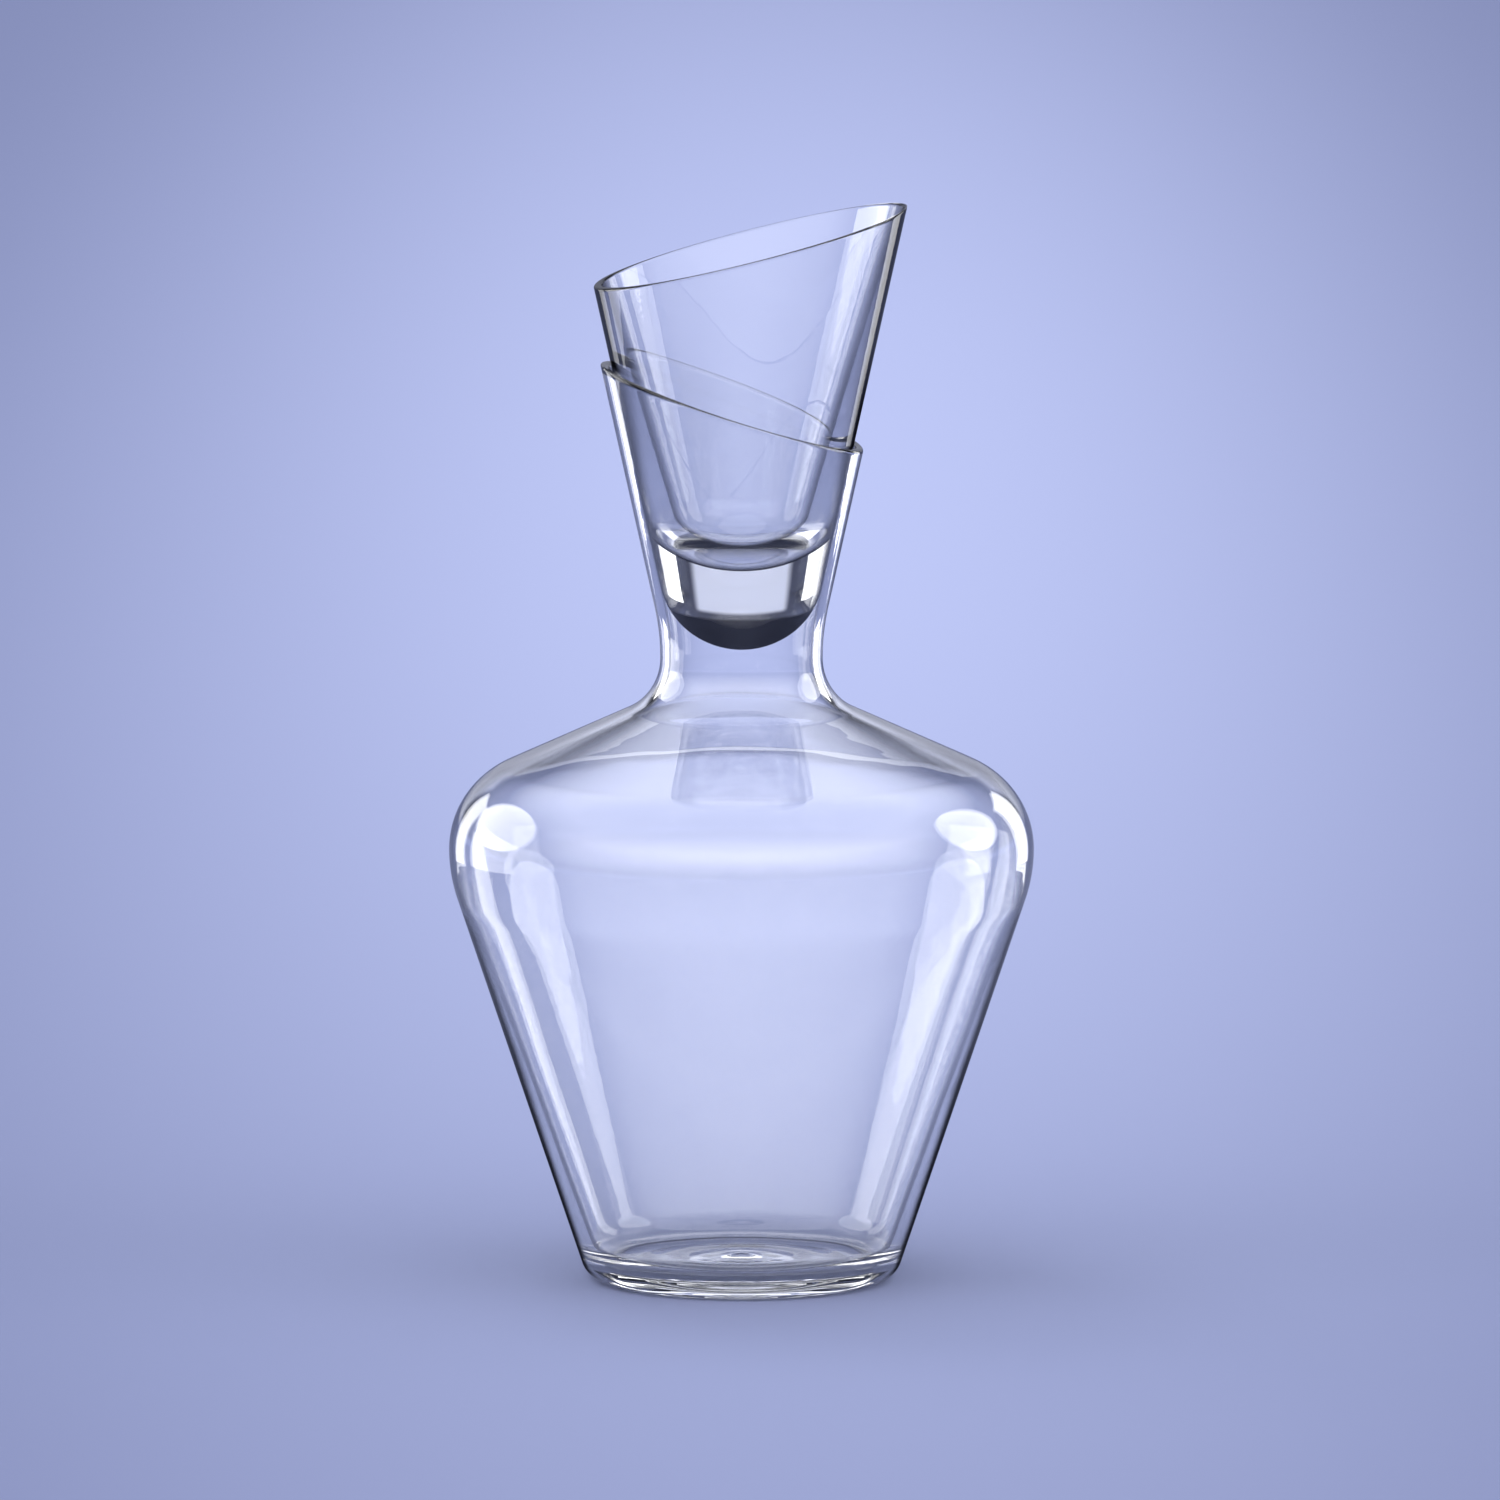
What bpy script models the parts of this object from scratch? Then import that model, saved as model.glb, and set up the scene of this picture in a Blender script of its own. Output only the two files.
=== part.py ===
"""Wine decanter with a cup-shaped stopper: a one-piece blown glass carafe, and a heavy glass stopper that
sits loose in its funnel neck. Metres, +Z up, origin at the centre of the underside, and the two slanted
rims lean along X: the carafe's is high at -X, the stopper's is high at +X.
"""

import math

import bmesh
import bpy

# Carafe, outside. The belly is its widest level, the neck is its narrowest, and the rim's height is on the axis
FOOT_RADIUS = 0.0365
HEEL_BEND = 0.0071
RESTING_RING_WIDTH = 0.0075
PUNT_DEPTH = 0.0008
BELLY_RADIUS = 0.0790
BELLY_HEIGHT = 0.1175
BELLY_BEND_BELOW = 0.0413
BELLY_BEND_ABOVE = 0.0249
NECK_RADIUS = 0.0219
NECK_ABOVE_BELLY = 0.0520
NECK_BEND_BELOW = 0.0155
NECK_BEND_ABOVE = 0.0623
FUNNEL_ANGLE = math.radians(12.5)
RIM_ABOVE_NECK = 0.0676
RIM_TILT = math.radians(18.1)

# Carafe, inside. Below its widest level the bowl is rounder inside than outside, so its wall thickens downwards
FLOOR_THICKNESS = 0.0055
FLOOR_INSET = 0.0041
FLOOR_BEND = 0.0100
BOWL_WALL = 0.0018
BOWL_EXTRA_BEND = 0.0075
NECK_WALL = 0.0026
FUNNEL_THINNING = math.radians(0.3)
LIP_ROUNDING = 0.0008

# Stopper. It takes its cone from the funnel, and it nearly touches the funnel at the seat's height
SEAT_GAP = 0.0003
SEAT_RELIEF = math.radians(0.3)
SEAT_ABOVE_NECK = 0.0305
TIP_BELOW_SEAT = 0.0280
STOPPER_RIM_ABOVE_SEAT = 0.0806
STOPPER_RIM_TILT = math.radians(-14.3)
STOPPER_LIP_WALL = 0.0015
STOPPER_LIP_ROUNDING = 0.0005
CUP_TAPER = math.radians(4.5)
CUP_DEPTH = 0.0846

PUNT_RADIUS = FOOT_RADIUS - RESTING_RING_WIDTH
FLOOR_RADIUS = FOOT_RADIUS - FLOOR_INSET
BOWL_BEND_BELOW = BELLY_BEND_BELOW + BOWL_EXTRA_BEND
NECK_HEIGHT = BELLY_HEIGHT + NECK_ABOVE_BELLY
RIM_HEIGHT = NECK_HEIGHT + RIM_ABOVE_NECK
SEAT_HEIGHT = NECK_HEIGHT + SEAT_ABOVE_NECK
TIP_HEIGHT = SEAT_HEIGHT - TIP_BELOW_SEAT
STOPPER_RIM_HEIGHT = SEAT_HEIGHT + STOPPER_RIM_ABOVE_SEAT

# Facets
SEGMENTS = 64
BEND_STEP = math.radians(11)
LIP_SEGMENTS = 3

UP = math.pi / 2
OUTWARDS = 0.0


def heading_between(first, second):
    """Heading of the straight line that leaves one bend and enters the next, both (centre, signed radius).
    A positive radius turns the path to the left, and a negative one to the right."""
    (r1, z1), turn1 = first
    (r2, z2), turn2 = second
    across = math.atan2(z2 - z1, r2 - r1)
    return across - math.asin((turn2 - turn1) / math.hypot(r2 - r1, z2 - z1))


def on_bend(bend, heading):
    (r, z), turn = bend
    return r + turn * math.sin(heading), z - turn * math.cos(heading)


def arc(bend, start, end):
    steps = max(1, math.ceil(abs(end - start) / BEND_STEP))
    return [on_bend(bend, start + (end - start) * i / steps) for i in range(steps + 1)]


def bends(start, first, second, end):
    """Two bends joined by the straight line that touches both."""
    middle = heading_between(first, second)
    return arc(first, start, middle) + arc(second, middle, end)


def run_up(point, heading, height):
    """The point at this height on the line that leaves a point at this heading."""
    r, z = point
    return r + (height - z) / math.tan(heading), height


def highest(point, heading, rim_height, tilt):
    """Height where a slanted rim's plane meets the cone through a point, on the rim's high side."""
    slope = abs(math.tan(tilt))
    flare = 1 / math.tan(heading)
    r, z = point
    reach = r + (rim_height - z) * flare
    return rim_height + slope * reach / (1 - slope * flare)


def carafe_outside():
    heel = (FOOT_RADIUS, HEEL_BEND), HEEL_BEND
    below = (BELLY_RADIUS - BELLY_BEND_BELOW, BELLY_HEIGHT), BELLY_BEND_BELOW
    above = (BELLY_RADIUS - BELLY_BEND_ABOVE, BELLY_HEIGHT), BELLY_BEND_ABOVE
    neck_below = (NECK_RADIUS + NECK_BEND_BELOW, NECK_HEIGHT), -NECK_BEND_BELOW
    neck_above = (NECK_RADIUS + NECK_BEND_ABOVE, NECK_HEIGHT), -NECK_BEND_ABOVE
    body = bends(OUTWARDS, heel, below, UP)
    shoulder = bends(UP, above, neck_below, UP)
    funnel = arc(neck_above, UP, UP - FUNNEL_ANGLE)
    return body + shoulder[1:] + funnel[1:]


def carafe_inside():
    throat = NECK_RADIUS - NECK_WALL
    belly = BELLY_RADIUS - BOWL_WALL
    bend_above = BELLY_BEND_ABOVE - BOWL_WALL
    neck_bend_below = NECK_BEND_BELOW + NECK_WALL
    neck_bend_above = NECK_BEND_ABOVE + NECK_WALL
    floor = (FLOOR_RADIUS, FLOOR_THICKNESS + FLOOR_BEND), FLOOR_BEND
    below = (belly - BOWL_BEND_BELOW, BELLY_HEIGHT), BOWL_BEND_BELOW
    above = (belly - bend_above, BELLY_HEIGHT), bend_above
    neck_below = (throat + neck_bend_below, NECK_HEIGHT), -neck_bend_below
    neck_above = (throat + neck_bend_above, NECK_HEIGHT), -neck_bend_above
    body = bends(OUTWARDS, floor, below, UP)
    shoulder = bends(UP, above, neck_below, UP)
    funnel = arc(neck_above, UP, UP - FUNNEL_ANGLE - FUNNEL_THINNING)
    return body + shoulder[1:] + funnel[1:]


def carafe_underside():
    """The shallow hollow under the foot, from its edge to its middle."""
    radius = (PUNT_RADIUS**2 + PUNT_DEPTH**2) / (2 * PUNT_DEPTH)
    half = math.asin(PUNT_RADIUS / radius)
    steps = 4
    points = []
    for i in range(steps + 1):
        angle = half * (1 - i / steps)
        points.append((radius * math.sin(angle), PUNT_DEPTH - radius * (1 - math.cos(angle))))
    return points


def carafe_profile():
    """From the middle of the floor up the inside, over the blank's top and down the outside to the underside."""
    inside = carafe_inside()
    outside = carafe_outside()
    top = highest(outside[-1], UP - FUNNEL_ANGLE, RIM_HEIGHT, RIM_TILT) + 2 * LIP_ROUNDING
    inside.append(run_up(inside[-1], UP - FUNNEL_ANGLE - FUNNEL_THINNING, top))
    outside.append(run_up(outside[-1], UP - FUNNEL_ANGLE, top))
    return [(0, FLOOR_THICKNESS)] + inside + outside[::-1] + carafe_underside()


def ball_end(point, heading, tip):
    """Round end, centred on the axis, that touches the cone through a point and reaches down to the tip."""
    r, z = point
    flare = 1 / math.tan(heading)
    at_tip = r + (tip - z) * flare
    radius = at_tip / (1 / math.sin(heading) - flare)
    return (0, tip + radius), radius


def stopper_outside():
    funnel_heading = UP - FUNNEL_ANGLE - FUNNEL_THINNING
    heading = funnel_heading + SEAT_RELIEF
    wall_r, wall_z = run_up(carafe_inside()[-1], funnel_heading, SEAT_HEIGHT)
    seat = wall_r - SEAT_GAP / math.sin(funnel_heading), wall_z
    end = ball_end(seat, heading, TIP_HEIGHT)
    return arc(end, OUTWARDS, heading), heading


def stopper_profile():
    """From the middle of the cup's bottom up the inside, over the blank's top and down the outside to the tip."""
    outside, heading = stopper_outside()
    top = highest(outside[-1], heading, STOPPER_RIM_HEIGHT, STOPPER_RIM_TILT) + 2 * STOPPER_LIP_ROUNDING
    outside.append(run_up(outside[-1], heading, top))
    rim_r, rim_z = run_up(outside[-1], heading, STOPPER_RIM_HEIGHT)
    cup_heading = UP - FUNNEL_ANGLE - CUP_TAPER
    lip = rim_r - STOPPER_LIP_WALL / math.sin(heading), rim_z
    end = ball_end(lip, cup_heading, STOPPER_RIM_HEIGHT - CUP_DEPTH)
    inside = arc(end, OUTWARDS, cup_heading)
    inside.append(run_up(inside[-1], cup_heading, top))
    return inside + outside[::-1]


def glass(name, tint):
    material = bpy.data.materials.new(name)
    material.use_nodes = True
    shader = material.node_tree.nodes["Principled BSDF"]
    shader.inputs["Base Color"].default_value = (*tint, 1)
    shader.inputs["Roughness"].default_value = 0.02
    shader.inputs["Metallic"].default_value = 0
    shader.inputs["IOR"].default_value = 1.5
    shader.inputs["Transmission Weight"].default_value = 1
    return material


def turned(name, profile, material, collection):
    """A profile in the XZ plane, turned once round Z, as a mesh of its own."""
    outline = bpy.data.meshes.new(name + "_profile")
    outline.from_pydata([(r, 0, z) for r, z in profile], [(i, i + 1) for i in range(len(profile) - 1)], [])
    piece = bpy.data.objects.new(name, outline)
    collection.objects.link(piece)
    screw = piece.modifiers.new("turn", "SCREW")
    screw.axis = "Z"
    screw.angle = math.tau
    screw.steps = SEGMENTS
    screw.render_steps = SEGMENTS
    screw.use_merge_vertices = True
    screw.merge_threshold = 0.00001
    graph = bpy.context.evaluated_depsgraph_get()
    mesh = bpy.data.meshes.new_from_object(piece.evaluated_get(graph))
    mesh.name = name
    mesh.materials.append(material)
    piece.modifiers.clear()
    piece.data = mesh
    bpy.data.meshes.remove(outline)
    return piece


def slanted_rim(piece, height, tilt, rounding):
    """Cuts the blank's top off along a plane through its axis at this height, tilted round Y, then closes
    the wall between the two cut edges and rounds them."""
    shape = bmesh.new()
    shape.from_mesh(piece.data)
    bmesh.ops.bisect_plane(
        shape,
        geom=shape.verts[:] + shape.edges[:] + shape.faces[:],
        plane_co=(0, 0, height),
        plane_no=(math.sin(tilt), 0, math.cos(tilt)),
        clear_outer=True,
    )
    rim = [edge for edge in shape.edges if edge.is_boundary]
    bmesh.ops.bridge_loops(shape, edges=rim)
    bmesh.ops.bevel(
        shape, geom=rim, offset=rounding, segments=LIP_SEGMENTS, profile=0.5, affect="EDGES"
    )
    shape.to_mesh(piece.data)
    shape.free()
    piece.data.shade_smooth()
    piece.data.set_sharp_from_angle(angle=math.radians(40))


def make_carafe(collection):
    carafe = turned("carafe", carafe_profile(), glass("clear_glass", (0.97, 0.98, 0.98)), collection)
    slanted_rim(carafe, RIM_HEIGHT, RIM_TILT, LIP_ROUNDING)
    return carafe


def make_stopper(collection):
    """The stopper slides along +Z, so its origin is on that axis, at its tip."""
    profile = [(r, z - TIP_HEIGHT) for r, z in stopper_profile()]
    stopper = turned("stopper", profile, glass("stopper_glass", (0.97, 0.98, 0.99)), collection)
    slanted_rim(stopper, STOPPER_RIM_HEIGHT - TIP_HEIGHT, STOPPER_RIM_TILT, STOPPER_LIP_ROUNDING)
    stopper.location.z = TIP_HEIGHT
    return stopper


def main():
    for old in list(bpy.data.objects):
        bpy.data.objects.remove(old, do_unlink=True)
    collection = bpy.data.collections.new("wine_decanter")
    bpy.context.scene.collection.children.link(collection)
    make_carafe(collection)
    make_stopper(collection)


main()
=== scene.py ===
"""Looks of the wine decanter: clear blown glass with a cup-shaped stopper, on a pale seamless floor."""

import math

import bmesh
import bpy
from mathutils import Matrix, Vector


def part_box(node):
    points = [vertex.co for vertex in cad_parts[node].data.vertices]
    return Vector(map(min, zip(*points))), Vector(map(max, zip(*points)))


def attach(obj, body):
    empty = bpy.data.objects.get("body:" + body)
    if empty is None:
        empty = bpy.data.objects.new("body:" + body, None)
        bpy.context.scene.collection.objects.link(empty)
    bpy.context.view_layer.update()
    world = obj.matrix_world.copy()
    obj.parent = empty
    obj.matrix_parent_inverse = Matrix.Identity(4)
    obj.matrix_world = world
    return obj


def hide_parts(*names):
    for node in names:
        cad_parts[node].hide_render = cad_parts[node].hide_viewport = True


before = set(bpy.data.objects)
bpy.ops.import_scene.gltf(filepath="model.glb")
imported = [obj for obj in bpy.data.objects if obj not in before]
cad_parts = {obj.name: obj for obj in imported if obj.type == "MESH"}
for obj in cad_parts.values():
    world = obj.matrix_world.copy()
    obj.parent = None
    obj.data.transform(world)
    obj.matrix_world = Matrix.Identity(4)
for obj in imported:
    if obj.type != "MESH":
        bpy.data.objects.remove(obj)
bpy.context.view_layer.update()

# The camera: a long lens a little above the table, aimed at the decanter's half height and a hair to the
# right of its axis. Light is followed through all the walls of the glass.
CAMERA_DISTANCE = 6.0
CAMERA_RISE = math.radians(7.57)
VIEW_WIDTH = 0.405
FILM_WIDTH = 36
FARTHEST_SEEN = 100
AIM = Vector((0.0023, 0, 0.1443))
MOST_BOUNCES = 32
MOST_REFLECTIONS = 16

toward_camera = Vector((0, -math.cos(CAMERA_RISE), math.sin(CAMERA_RISE)))
bpy.ops.object.camera_add(location=AIM + CAMERA_DISTANCE * toward_camera)
camera = bpy.context.object
camera.rotation_euler = (math.pi / 2 - CAMERA_RISE, 0, 0)
camera.data.sensor_width = FILM_WIDTH
camera.data.lens = FILM_WIDTH * CAMERA_DISTANCE / VIEW_WIDTH
camera.data.clip_end = FARTHEST_SEEN
bpy.context.scene.camera = camera
bpy.context.scene.view_settings.view_transform = "Standard"
bpy.context.scene.cycles.max_bounces = MOST_BOUNCES
bpy.context.scene.cycles.transmission_bounces = MOST_BOUNCES
bpy.context.scene.cycles.glossy_bounces = MOST_REFLECTIONS


# The studio: one seamless pale floor with a painted pool of light on it behind the decanter, under soft light
# from in front and overhead. Low in the sky a dark band runs all round, which reaches higher at the back,
# where a pale panel stands in it. The glass shows these in its dark and bright lines, with painted edge shade
# added; the camera sees only more floor.
FLOOR_SIZE = 60
# The floor's colour holds a painted pool of light: the darker rim colour, then the lighter colour, middle and
# reach of the pool.
FLOOR_RIM_COLOUR = (0.136, 0.154, 0.258, 1)
FLOOR_PAINTED_LIGHT_COLOUR = (0.285, 0.314, 0.475, 1)
FLOOR_PAINTED_LIGHT_PLACE = (0.02, 1.9, 0)
FLOOR_PAINTED_LIGHT_REACH = (0.40, 3.8, 1)
HORIZON_COLOUR = (0.37, 0.42, 0.70)
DARK = (0.02, 0.02, 0.025)
FRONT_SKY = [
    (0.02, HORIZON_COLOUR),
    (0.07, DARK),
    (0.12, DARK),
    (0.55, (3.1, 3.1, 3.2)),
    (0.80, (2.3, 2.35, 2.5)),
    (1.0, (2.0, 2.05, 2.2)),
]
BACK_SKY = [
    (0.02, HORIZON_COLOUR),
    (0.07, DARK),
    (0.46, DARK),
    (0.76, (2.0, 2.05, 2.2)),
    (1.0, (1.8, 1.85, 2.0)),
]
FRONT_TO_BACK = (-0.35, 0.3)
PANEL_COLOUR = (0.72, 0.76, 0.96, 1)
PANEL_SIDES = (0.40, 0.33)
PANEL_TOP = (0.33, 0.27)
FAR_FLOOR = [(0.0, (0.25, 0.285, 0.50)), (0.25, (0.45, 0.50, 0.78))]


class Wire:
    """An output of a shader node, on which plain arithmetic adds Math nodes."""

    def __init__(self, graph, socket):
        self.graph = graph
        self.socket = socket

    def math(self, operation, *values):
        return self.graph.add("ShaderNodeMath", {"operation": operation}, dict(enumerate(values)))

    def __add__(self, other):
        return self.math("ADD", self, other)

    def __mul__(self, other):
        return self.math("MULTIPLY", self, other)

    __radd__ = __add__
    __rmul__ = __mul__


class Graph:
    """The node tree of a material or of the world, emptied and ready to fill."""

    def __init__(self, owner):
        owner.use_nodes = True
        self.tree = owner.node_tree
        self.tree.nodes.clear()

    def add(self, kind, settings=None, inputs=None, output=0):
        """One node: its settings first (a ramp's stops are pairs of place and colour), then its sockets."""
        node = self.tree.nodes.new(kind)
        for name, value in (settings or {}).items():
            if name == "stops":
                elements = node.color_ramp.elements
                while len(elements) < len(value):
                    elements.new(0.5)
                for element, (place, colour) in zip(elements, value):
                    element.position = place
                    element.color = (*colour, 1)
            else:
                setattr(node, name, value)
        for name, value in (inputs or {}).items():
            if isinstance(value, Wire):
                self.tree.links.new(value.socket, node.inputs[name])
            else:
                node.inputs[name].default_value = value
        return Wire(self, node.outputs[output]) if node.outputs else None

    def mix(self, factor, first, second):
        """A Mix node between two colours."""
        return self.add("ShaderNodeMix", {"data_type": "RGBA"}, {0: factor, 6: first, 7: second}, output=2)

    def fade(self, value, start, end, low=0.0, high=1.0):
        """A Map Range node that goes smoothly from low to high as the value goes from start to end."""
        inputs = {"Value": value, "From Min": start, "From Max": end, "To Min": low, "To Max": high}
        return self.add("ShaderNodeMapRange", {"interpolation_type": "SMOOTHSTEP"}, inputs)

    def ramp(self, value, stops):
        return self.add("ShaderNodeValToRGB", {"stops": stops}, {"Fac": value})

    def split(self, vector):
        """The three parts of a vector."""
        node = self.add("ShaderNodeSeparateXYZ", inputs={"Vector": vector}).socket.node
        return [Wire(self, socket) for socket in node.outputs]


bpy.ops.mesh.primitive_plane_add(size=FLOOR_SIZE)
floor = bpy.context.object
floor.name = "studio_floor"
floor_paint = bpy.data.materials.new("pale_floor")
graph = Graph(floor_paint)
# Painted pool of light: the floor's colour is made lighter around a spot behind the decanter.
place = graph.add("ShaderNodeTexCoord", output=3)
from_painted_light = graph.add("ShaderNodeVectorMath", {"operation": "SUBTRACT"}, {0: place, 1: FLOOR_PAINTED_LIGHT_PLACE})
in_reach = graph.add("ShaderNodeVectorMath", {"operation": "DIVIDE"}, {0: from_painted_light, 1: FLOOR_PAINTED_LIGHT_REACH})
spread = graph.add("ShaderNodeVectorMath", {"operation": "LENGTH"}, {0: in_reach}, output=1)
colour = graph.mix(graph.fade(spread, 1, 0), FLOOR_RIM_COLOUR, FLOOR_PAINTED_LIGHT_COLOUR)
surface = graph.add("ShaderNodeBsdfDiffuse", inputs={"Color": colour})
graph.add("ShaderNodeOutputMaterial", inputs={"Surface": surface})
floor.data.materials.append(floor_paint)

world = bpy.data.worlds.new("studio_air")
bpy.context.scene.world = world
graph = Graph(world)
side, depth, height = graph.split(graph.add("ShaderNodeTexCoord", output=0))
behind = graph.fade(depth, *FRONT_TO_BACK)
sky = graph.mix(behind, graph.ramp(height, FRONT_SKY), graph.ramp(height, BACK_SKY))
inside_sides = graph.fade(side.math("ABSOLUTE", side), *PANEL_SIDES)
under_top = graph.fade(height, *PANEL_TOP)
panel = inside_sides * under_top * depth.math("GREATER_THAN", depth, 0)
lit_sky = graph.mix(panel, sky, PANEL_COLOUR)
seen_straight = graph.add("ShaderNodeLightPath", output=0)
air = graph.mix(seen_straight, lit_sky, graph.ramp(height, FAR_FLOOR))
background = graph.add("ShaderNodeBackground", inputs={"Color": air, "Strength": 1.0})
graph.add("ShaderNodeOutputWorld", inputs={"Surface": background})


# The lamps: a round soft box and two smaller boxes on each side, close to the glass, which draw the hooks
# on the shoulder and the long strips down the body. They light only the glass, and one overhead lamp, which
# the glass doesn't show, lights the floor and gives the soft shadow.
SOFTBOX_DISTANCE = 0.75
SOFTBOX_CENTRE = Vector((0, 0, 0.10))
OVERHEAD_PLACE = (-0.9, 1.1, 2.4)
OVERHEAD_SIZE = 1.2
OVERHEAD_POWER = 13


def softbox(name, turn, width, low, high, brightness, shape="RECTANGLE"):
    """A soft box that faces the decanter and fills the given angles in degrees: its middle's turn to the
    right from straight behind, its width, and its lower and upper edge over the horizon."""
    turn = math.radians(turn)
    rise = math.radians((low + high) / 2)
    away = Vector((math.sin(turn) * math.cos(rise), math.cos(turn) * math.cos(rise), math.sin(rise)))
    bpy.ops.object.light_add(type="AREA", location=SOFTBOX_CENTRE + SOFTBOX_DISTANCE * away)
    lamp = bpy.context.object
    lamp.name = name
    lamp.data.shape = shape
    lamp.data.size = 2 * SOFTBOX_DISTANCE * math.tan(math.radians(width) / 2)
    lamp.data.size_y = 2 * SOFTBOX_DISTANCE * math.tan(math.radians(high - low) / 2)
    filled = math.pi / 4 if shape == "ELLIPSE" else 1
    lamp.data.energy = 4 * brightness * filled * lamp.data.size * lamp.data.size_y
    lamp.rotation_euler = away.to_track_quat("Z", "Y").to_euler()
    lamp.visible_camera = False
    lamp.visible_diffuse = False


softbox("left_softbox", -64, 40, 6, 36, 2.4, "ELLIPSE")
softbox("left_reflector", -66, 32, -7, 15, 1.4)
softbox("left_strip", -37, 12, -7, 20, 1.6)
softbox("right_softbox", 70, 32, 8, 40, 2.6, "ELLIPSE")
softbox("right_reflector", 76, 16, -7, 17, 1.0)
softbox("right_strip", 37, 14, -7, 21, 2.3)

bpy.ops.object.light_add(type="AREA", location=OVERHEAD_PLACE)
overhead = bpy.context.object
overhead.name = "overhead_light"
overhead.data.size = OVERHEAD_SIZE
overhead.data.energy = OVERHEAD_POWER
overhead.visible_camera = False
overhead.visible_glossy = False
overhead.visible_transmission = False


# The carafe: one piece of clear glass, blown and turned in a mould so that it has no seam, with a thick,
# heavy foot. Its mouth was cut on a slant and fire-polished, so both edges of the rim are round.
SPIN_STEPS = 256
BEND_STEP = math.radians(2.5)
LINE_STEP = 0.005
LIP_SEGMENTS = 6
LIP_HOLD = 1.4
MERGE_DISTANCE = 1e-6
UP = math.pi / 2
FOOT_RADIUS = 0.0365
HEEL_BEND = 0.0071
BELLY_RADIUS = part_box("carafe")[1].x
BELLY_HEIGHT = 0.1175
BELLY_BEND_BELOW = 0.0413
BELLY_BEND_ABOVE = 0.0249
NECK_RADIUS = 0.0219
NECK_HEIGHT = 0.1695
NECK_BEND_BELOW = 0.0155
NECK_BEND_ABOVE = 0.0623
FUNNEL_ANGLE = math.radians(12.5)
RIM_HEIGHT = 0.2371
RIM_TILT = math.radians(18.1)
RIM_TOP = 0.256
PUNT_RADIUS = 0.0290
PUNT_DEPTH = 0.0008
FLOOR_THICKNESS = 0.0055
FLOOR_RADIUS = 0.0324
FLOOR_BEND = 0.0100
BOWL_WALL = 0.0018
BOWL_BEND_BELOW = 0.0488
NECK_WALL = 0.0026
FUNNEL_THINNING = math.radians(0.3)
LIP_ROUNDING = 0.0009
FLOOR_RINGS = 32
PUNT_RINGS = 12
BUTTON_HEIGHT = 0.0012
BUTTON_REACH = 0.0075
WAVE_HEIGHT = 0.00022
WAVE_LENGTH = 0.0105
WAVE_REACH = 0.024
WAVER_SEED_PLACE = (0.31, 0.17, 0.05)
WAVER_SIZE = 0.03
WAVER_DEPTH = 0.0001
CARAFE_TINT = (0.985, 0.99, 0.992)
CARAFE_HAZE = 0.012
GLASS_IOR = 1.5
CLEAREST = (0.995, 0.996, 0.998)
TINT_SPREAD = (0.3, 0.7)
HAZE_SCALE = 22.0
DRAW_LINE_SCALE = 30.0
DRAW_LINE_STRETCH = (1.0, 1.0, 6.0)
DRAW_LINE_STRENGTH = 0.02
DRAW_LINE_DEPTH = 0.001
# Painted edge shade on the glass: a near-black matte shader mixed in where a wall is seen on edge, stronger
# towards the foot.
PAINTED_EDGE_SHADE_COLOUR = (0.006, 0.006, 0.008, 1)
PAINTED_EDGE_SHADE_ROUGHNESS = 0.5
PAINTED_EDGE_SHADE_FULL = 0.86
OUTSIDE_FLOOR = (0.0322, 0.0332)
ABOVE_FLOOR = (0.012, 0.020)
OFF_GROUND = (0.001, 0.004)
PAINTED_SHADE_END_BLEND = 0.002
PAINTED_SHADE_END_LIFT = 0.5
CARAFE_PAINTED_EDGE_SHADE_START = 0.72
CARAFE_PAINTED_EDGE_SHADE_FADE = ((0.03, 0.95), (BELLY_HEIGHT, 0.5))


def on_bend(bend, heading):
    (r, z), turn = bend
    return r + turn * math.sin(heading), z - turn * math.cos(heading)


def arc(bend, start, end):
    steps = max(1, math.ceil(abs(end - start) / BEND_STEP))
    return [on_bend(bend, start + (end - start) * i / steps) for i in range(steps + 1)]


def line(start, end):
    """The points between two places on a straight wall, without its ends."""
    steps = max(1, round(math.dist(start, end) / LINE_STEP))
    return [tuple(a + (b - a) * i / steps for a, b in zip(start, end)) for i in range(1, steps)]


def bends(start, first, second, end):
    """Two bends, each a centre and a radius, negative to turn right, joined by the straight line that touches
    both of them."""
    (r1, z1), turn1 = first
    (r2, z2), turn2 = second
    across = math.atan2(z2 - z1, r2 - r1)
    middle = across - math.asin((turn2 - turn1) / math.hypot(r2 - r1, z2 - z1))
    below, above = arc(first, start, middle), arc(second, middle, end)
    return below + line(below[-1], above[0]) + above


def cone_at(point, heading, height):
    """Where the straight wall that leaves a point at this heading reaches this height."""
    r, z = point
    return r + (height - z) / math.tan(heading), height


def wall(belly, throat, foot, neck_wall, bowl_wall, bend_below, funnel_heading, top):
    """One face of the carafe's wall in outline, from the edge of its flat foot or floor up to the top of the
    blank, before the mouth is cut."""
    above = BELLY_BEND_ABOVE - bowl_wall
    neck_below = NECK_BEND_BELOW + neck_wall
    neck_above = NECK_BEND_ABOVE + neck_wall
    body = bends(0, foot, ((belly - bend_below, BELLY_HEIGHT), bend_below), UP)
    shoulder = bends(
        UP, ((belly - above, BELLY_HEIGHT), above), ((throat + neck_below, NECK_HEIGHT), -neck_below), UP
    )
    funnel = arc(((throat + neck_above, NECK_HEIGHT), -neck_above), UP, funnel_heading)
    return body + shoulder[1:] + funnel[1:] + [cone_at(funnel[-1], funnel_heading, top)]


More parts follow.
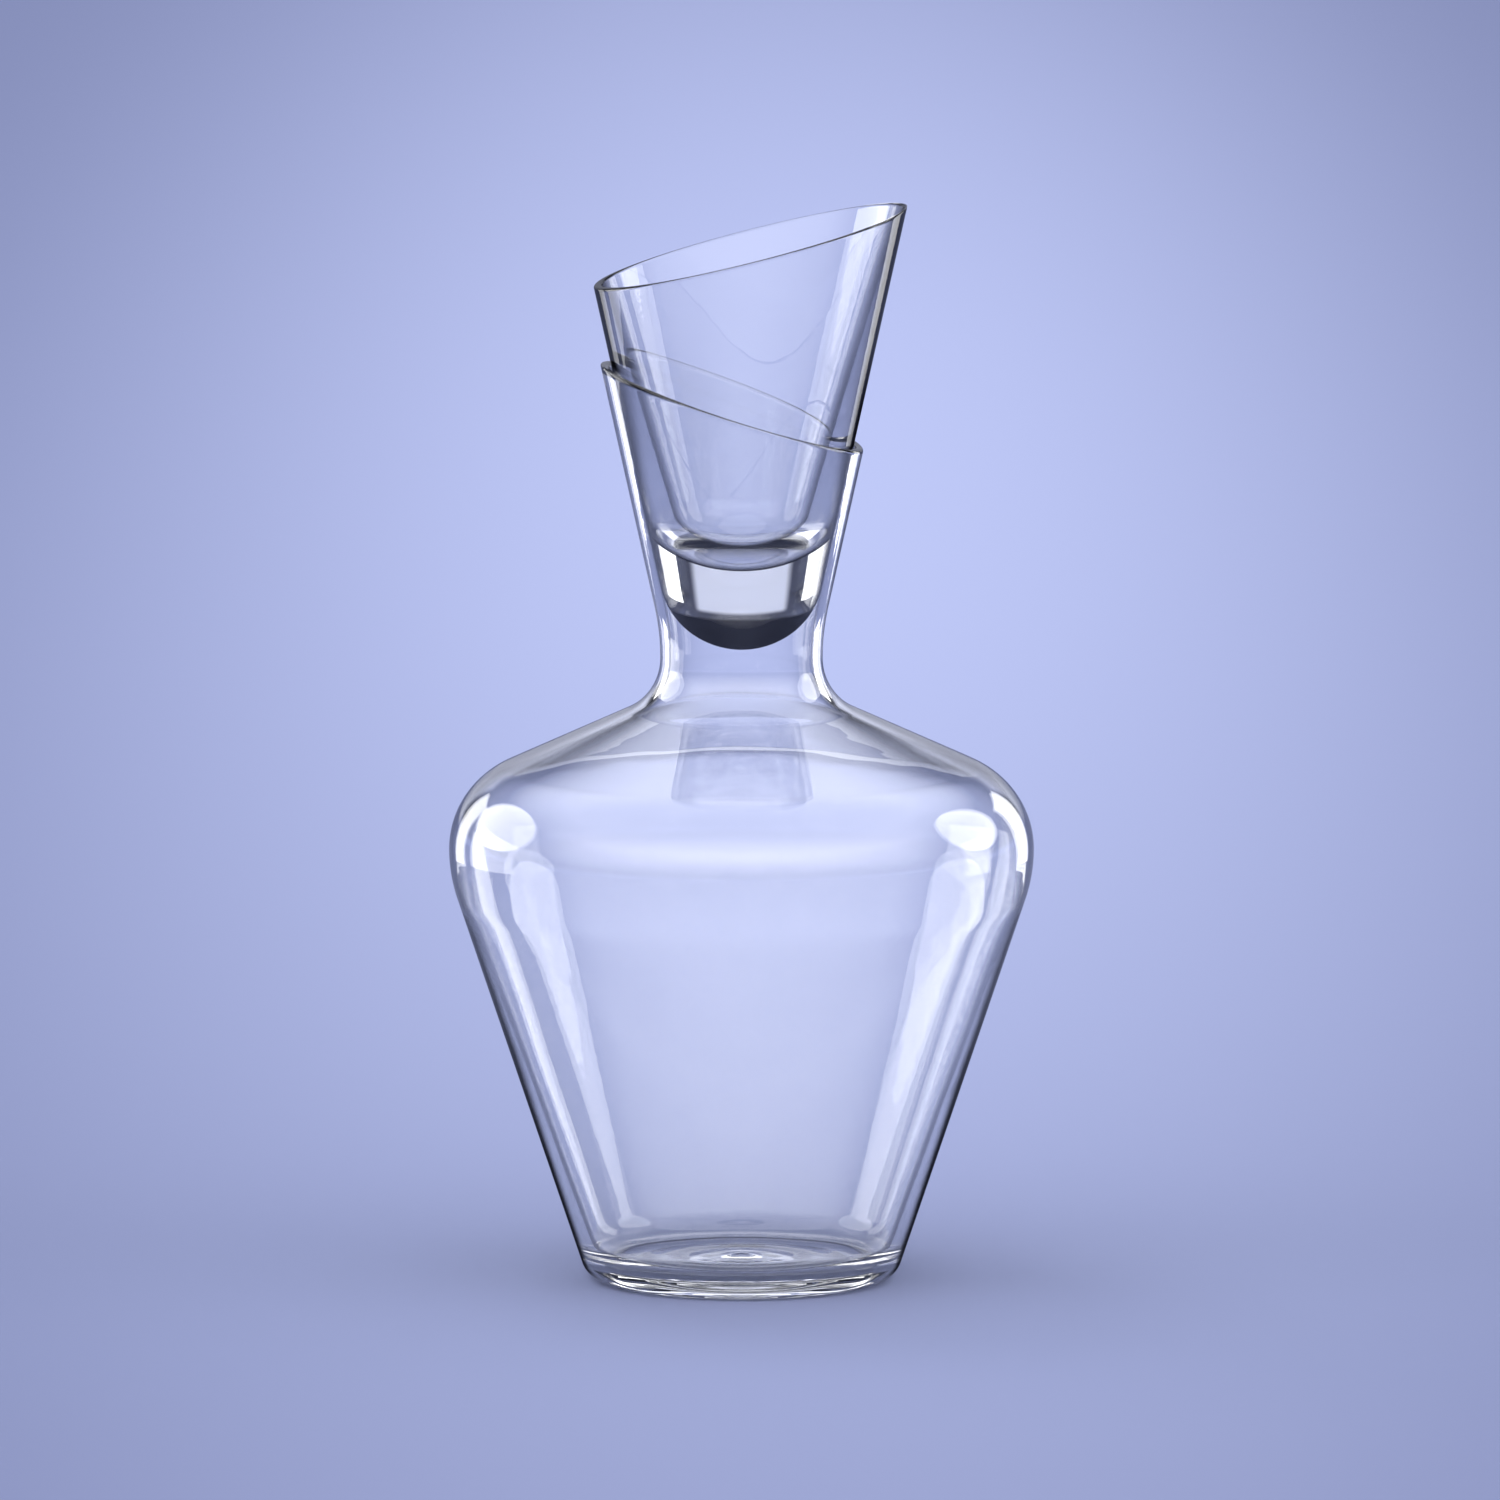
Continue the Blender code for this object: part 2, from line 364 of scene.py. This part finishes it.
def turned(name, outline):
    """A closed outline beside the axis, drawn point by point and spun once round it."""
    bpy.ops.object.select_all(action="DESELECT")
    bpy.ops.mesh.primitive_plane_add(size=0.001, location=(outline[0][0], 0, outline[0][1]))
    piece = bpy.context.object
    piece.name = name
    bpy.ops.object.transform_apply(location=True)
    bpy.ops.object.mode_set(mode="EDIT")
    bpy.ops.mesh.select_mode(type="VERT")
    bpy.ops.mesh.merge(type="CENTER")
    for (r1, z1), (r2, z2) in zip(outline, outline[1:]):
        bpy.ops.mesh.extrude_vertices_move(TRANSFORM_OT_translate={"value": (r2 - r1, 0, z2 - z1)})
    bpy.ops.mesh.select_all(action="SELECT")
    bpy.ops.mesh.spin(steps=SPIN_STEPS, angle=math.tau, center=(0, 0, 0), axis=(0, 0, 1))
    bpy.ops.mesh.select_all(action="SELECT")
    bpy.ops.mesh.remove_doubles(threshold=MERGE_DISTANCE)
    bpy.ops.object.mode_set(mode="OBJECT")
    return piece


def slanted_rim(piece, height, tilt, rounding):
    """Cuts the top off on a slant, closes the wall between the two cut edges, rounds both and turns the faces
    outwards."""
    across = (math.sin(tilt), 0, math.cos(tilt))
    hold = Vector((0, 0, height)) - LIP_HOLD * rounding * Vector(across)
    bpy.ops.object.mode_set(mode="EDIT")
    bpy.ops.mesh.select_mode(type="EDGE")
    bpy.ops.mesh.select_all(action="SELECT")
    bpy.ops.mesh.bisect(plane_co=(0, 0, height), plane_no=across, clear_outer=True)
    bpy.ops.mesh.select_all(action="SELECT")
    bpy.ops.mesh.bisect(plane_co=hold, plane_no=across)
    bpy.ops.mesh.select_all(action="DESELECT")
    bpy.ops.mesh.select_non_manifold()
    bpy.ops.mesh.bridge_edge_loops()
    bpy.ops.mesh.region_to_loop()
    bpy.ops.mesh.bevel(offset=rounding, segments=LIP_SEGMENTS, profile=0.5, affect="EDGES")
    bpy.ops.mesh.select_all(action="SELECT")
    bpy.ops.mesh.normals_make_consistent(inside=False)
    shape = bmesh.from_edit_mesh(piece.data)
    if shape.calc_volume(signed=True) < 0:
        bpy.ops.mesh.flip_normals()
    bpy.ops.object.mode_set(mode="OBJECT")
    bpy.ops.object.shade_smooth()


def waver(piece, chosen, seed_place, size, depth):
    """Moves the chosen points of a wall in and out a little, as hand-finished glass is never quite true."""
    group = piece.vertex_groups.new(name="wavering")
    group.add([vertex.index for vertex in piece.data.vertices if chosen(vertex)], 1, "ADD")
    clouds = bpy.data.textures.new(piece.name + "_waver", "CLOUDS")
    clouds.noise_scale = size
    clouds.noise_depth = 1
    ruler = bpy.data.objects.new(piece.name + "_ruler", None)
    bpy.context.collection.objects.link(ruler)
    ruler.location = seed_place
    modifier = piece.modifiers.new("waver", "DISPLACE")
    modifier.texture = clouds
    modifier.texture_coords = "OBJECT"
    modifier.texture_coords_object = ruler
    modifier.vertex_group = group.name
    modifier.strength = depth
    modifier.mid_level = 0.5
    bpy.context.view_layer.update()
    bpy.ops.object.modifier_apply(modifier=modifier.name)
    bpy.data.objects.remove(ruler)


def clear_glass(name, tint, haze, painted_shade_fade, painted_shade_start, painted_shade_end=None):
    """Clear polished glass: almost no tint, a trace of haze where it was handled, very faint draw lines, and
    painted shade: a near-black matte shader mixed in where a wall is seen on edge. The fade pairs two heights
    with the shade's strength there; below the end height, if given, it widens. The flat floor and the
    underside have none."""
    glass = bpy.data.materials.new(name)
    graph = Graph(glass)
    place = graph.add("ShaderNodeTexCoord", output=3)
    cloud = graph.add("ShaderNodeTexNoise", inputs={"Vector": place, "Scale": HAZE_SCALE, "Detail": 2.0})
    drawn = graph.add("ShaderNodeMapping", inputs={"Vector": place, "Scale": DRAW_LINE_STRETCH})
    lines = graph.add("ShaderNodeTexNoise", inputs={"Vector": drawn, "Scale": DRAW_LINE_SCALE, "Detail": 1.0})
    tints = list(zip(TINT_SPREAD, (tint, CLEAREST)))
    relief = {"Height": lines, "Strength": DRAW_LINE_STRENGTH, "Distance": DRAW_LINE_DEPTH}
    clear_finish = {
        "Base Color": graph.ramp(cloud, tints),
        "Roughness": cloud * haze,
        "Normal": graph.add("ShaderNodeBump", inputs=relief),
        "IOR": GLASS_IOR,
        "Transmission Weight": 1.0,
    }
    clear = graph.add("ShaderNodeBsdfPrincipled", inputs=clear_finish)
    painted_shade_finish = {"Base Color": PAINTED_EDGE_SHADE_COLOUR, "Roughness": PAINTED_EDGE_SHADE_ROUGHNESS, "Specular IOR Level": 0.0}
    dark = graph.add("ShaderNodeBsdfPrincipled", inputs=painted_shade_finish)
    side, depth, height = graph.split(place)
    facing = graph.add("ShaderNodeLayerWeight", inputs={"Blend": 0.5}, output=1)
    # The painted edge shade also widens over the stopper's round end, below the end height.
    if painted_shade_end is not None:
        facing = facing + graph.fade(height, painted_shade_end + PAINTED_SHADE_END_BLEND, painted_shade_end, high=PAINTED_SHADE_END_LIFT)
    painted_edge_shade = graph.fade(facing, painted_shade_start, PAINTED_EDGE_SHADE_FULL)
    (low, strong), (high, weak) = painted_shade_fade
    strength = graph.fade(height, low, high, strong, weak)
    radius = side.math("SQRT", side * side + depth * depth)
    above_floor = graph.fade(height, *ABOVE_FLOOR)
    on_wall = above_floor.math("MAXIMUM", graph.fade(radius, *OUTSIDE_FLOOR), above_floor)
    upright = graph.fade(height, *OFF_GROUND) * on_wall
    # Painted shade: the dark shader is mixed into the clear glass on the edges, by height, and kept off the
    # floor and the underside.
    surface = graph.add("ShaderNodeMixShader", inputs={0: painted_edge_shade * strength * upright, 1: clear, 2: dark})
    graph.add("ShaderNodeOutputMaterial", inputs={"Surface": surface})
    return glass


def floor_swell(radius):
    """Height of the rings that the gather leaves in the floor: a low button in the middle, with waves round
    it that die out towards the wall."""
    button = BUTTON_HEIGHT * math.exp(-((radius / BUTTON_REACH) ** 2))
    waves = WAVE_HEIGHT * math.cos(math.tau * radius / WAVE_LENGTH) * math.exp(-((radius / WAVE_REACH) ** 4))
    return button + waves


def on_inner_face(vertex):
    """The wall's inner face and the floor, but never the underside, which has to stay flat on the table."""
    inward = vertex.normal.x * vertex.co.x + vertex.normal.y * vertex.co.y < 0
    return vertex.co.z > PUNT_DEPTH and (inward or vertex.co.z < FLOOR_BEND)


inside = wall(
    BELLY_RADIUS - BOWL_WALL,
    NECK_RADIUS - NECK_WALL,
    ((FLOOR_RADIUS, FLOOR_THICKNESS + FLOOR_BEND), FLOOR_BEND),
    NECK_WALL,
    BOWL_WALL,
    BOWL_BEND_BELOW,
    UP - FUNNEL_ANGLE - FUNNEL_THINNING,
    RIM_TOP,
)
outside = wall(
    BELLY_RADIUS,
    NECK_RADIUS,
    ((FOOT_RADIUS, HEEL_BEND), HEEL_BEND),
    0,
    0,
    BELLY_BEND_BELOW,
    UP - FUNNEL_ANGLE,
    RIM_TOP,
)
floor_line = []
for i in range(FLOOR_RINGS):
    r = FLOOR_RADIUS * i / FLOOR_RINGS
    floor_line.append((r, FLOOR_THICKNESS + floor_swell(r)))
punt_bend = (PUNT_RADIUS**2 + PUNT_DEPTH**2) / (2 * PUNT_DEPTH)
punt_line = []
for i in range(PUNT_RINGS + 1):
    r = PUNT_RADIUS * (1 - i / PUNT_RINGS)
    punt_line.append((r, PUNT_DEPTH - punt_bend + math.sqrt(punt_bend**2 - r**2)))

carafe = turned("blown_carafe", floor_line + inside + outside[::-1] + punt_line)
slanted_rim(carafe, RIM_HEIGHT, RIM_TILT, LIP_ROUNDING)
waver(carafe, on_inner_face, WAVER_SEED_PLACE, WAVER_SIZE, WAVER_DEPTH)
blown_glass = clear_glass("blown_glass", CARAFE_TINT, CARAFE_HAZE, CARAFE_PAINTED_EDGE_SHADE_FADE, CARAFE_PAINTED_EDGE_SHADE_START)
carafe.data.materials.append(blown_glass)
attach(carafe, "carafe")
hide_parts("carafe")


# The stopper: one piece of clear glass, pressed thick, with a solid round end that is heavy enough to
# hold it down, a cup above it, and a rim cut on the opposite slant to the carafe's and fire-polished.
SEAT_GAP = 0.0003
SEAT_RELIEF = math.radians(0.3)
SEAT_HEIGHT = 0.2000
TIP_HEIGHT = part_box("stopper")[0].z
STOPPER_RIM_HEIGHT = 0.2806
STOPPER_RIM_TILT = math.radians(-14.3)
STOPPER_RIM_TOP = 0.298
STOPPER_LIP_WALL = 0.0015
STOPPER_LIP_ROUNDING = 0.0006
CUP_ANGLE = math.radians(17.0)
CUP_DEPTH = 0.0846
STOPPER_TINT = (0.985, 0.988, 0.992)
STOPPER_HAZE = 0.01
# The stopper's painted edge shade, which also darkens its round end.
STOPPER_PAINTED_EDGE_SHADE_START = 0.5
STOPPER_PAINTED_EDGE_SHADE_FADE = ((0.235, 1.0), (0.26, 0.7))
STOPPER_PAINTED_SHADE_END = TIP_HEIGHT + 0.0098


def ball_end(point, heading, tip):
    """Round end, centred on the axis, that touches the cone through a point and reaches down to the tip."""
    r, z = point
    flare = 1 / math.tan(heading)
    radius = (r + (tip - z) * flare) / (1 / math.sin(heading) - flare)
    return arc(((0, tip + radius), radius), 0, heading)


seat_heading = UP - FUNNEL_ANGLE - FUNNEL_THINNING
stopper_heading = seat_heading + SEAT_RELIEF
seat_r, seat_z = cone_at(inside[-1], seat_heading, SEAT_HEIGHT)
seat = seat_r - SEAT_GAP / math.sin(seat_heading), seat_z
stopper_outside = ball_end(seat, stopper_heading, TIP_HEIGHT)
stopper_outside.append(cone_at(stopper_outside[-1], stopper_heading, STOPPER_RIM_TOP))
rim_r, rim_z = cone_at(seat, stopper_heading, STOPPER_RIM_HEIGHT)
cup_heading = UP - CUP_ANGLE
lip = rim_r - STOPPER_LIP_WALL / math.sin(stopper_heading), rim_z
cup = ball_end(lip, cup_heading, STOPPER_RIM_HEIGHT - CUP_DEPTH)
cup.append(cone_at(cup[-1], cup_heading, STOPPER_RIM_TOP))

stopper = turned("cup_stopper", cup + stopper_outside[::-1])
slanted_rim(stopper, STOPPER_RIM_HEIGHT, STOPPER_RIM_TILT, STOPPER_LIP_ROUNDING)
pressed_glass = clear_glass(
    "pressed_glass", STOPPER_TINT, STOPPER_HAZE, STOPPER_PAINTED_EDGE_SHADE_FADE, STOPPER_PAINTED_EDGE_SHADE_START, STOPPER_PAINTED_SHADE_END
)
stopper.data.materials.append(pressed_glass)
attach(stopper, "stopper")
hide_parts("stopper")
